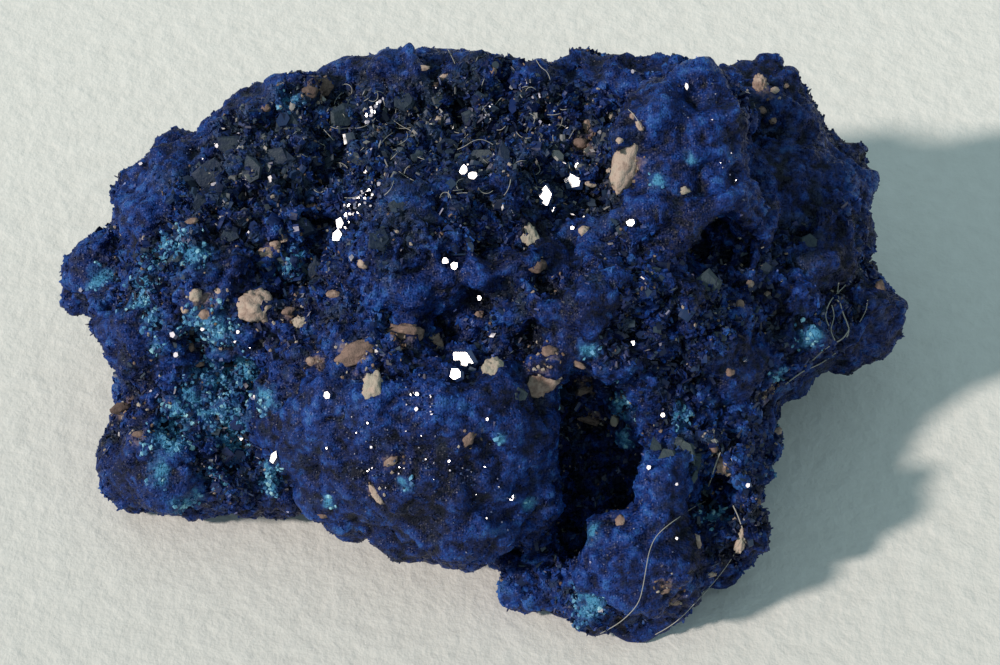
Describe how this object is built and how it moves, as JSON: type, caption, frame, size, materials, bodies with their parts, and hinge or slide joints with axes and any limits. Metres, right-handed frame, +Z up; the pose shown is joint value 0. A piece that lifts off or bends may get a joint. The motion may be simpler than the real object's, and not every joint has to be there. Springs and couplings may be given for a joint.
{
  "type": "azurite nodule",
  "caption": "Knobbly nodule of grown-together azurite crystals with creases, pits, flat blades and clay grains, lying on its flattened underside.",
  "frame": {"origin": "middle of the bounding box in plan, on the surface that the stone rests on", "axes": "+X along the stone's length towards its blunt end, +Y towards its back, +Z up"},
  "size_m": [0.0436, 0.0286, 0.0188],
  "materials": {
    "azurite": "sugary deep blue crystal crust"
  },
  "bodies": {
    "root": {"azurite_nodule": "azurite"}
  },
  "joints": []
}
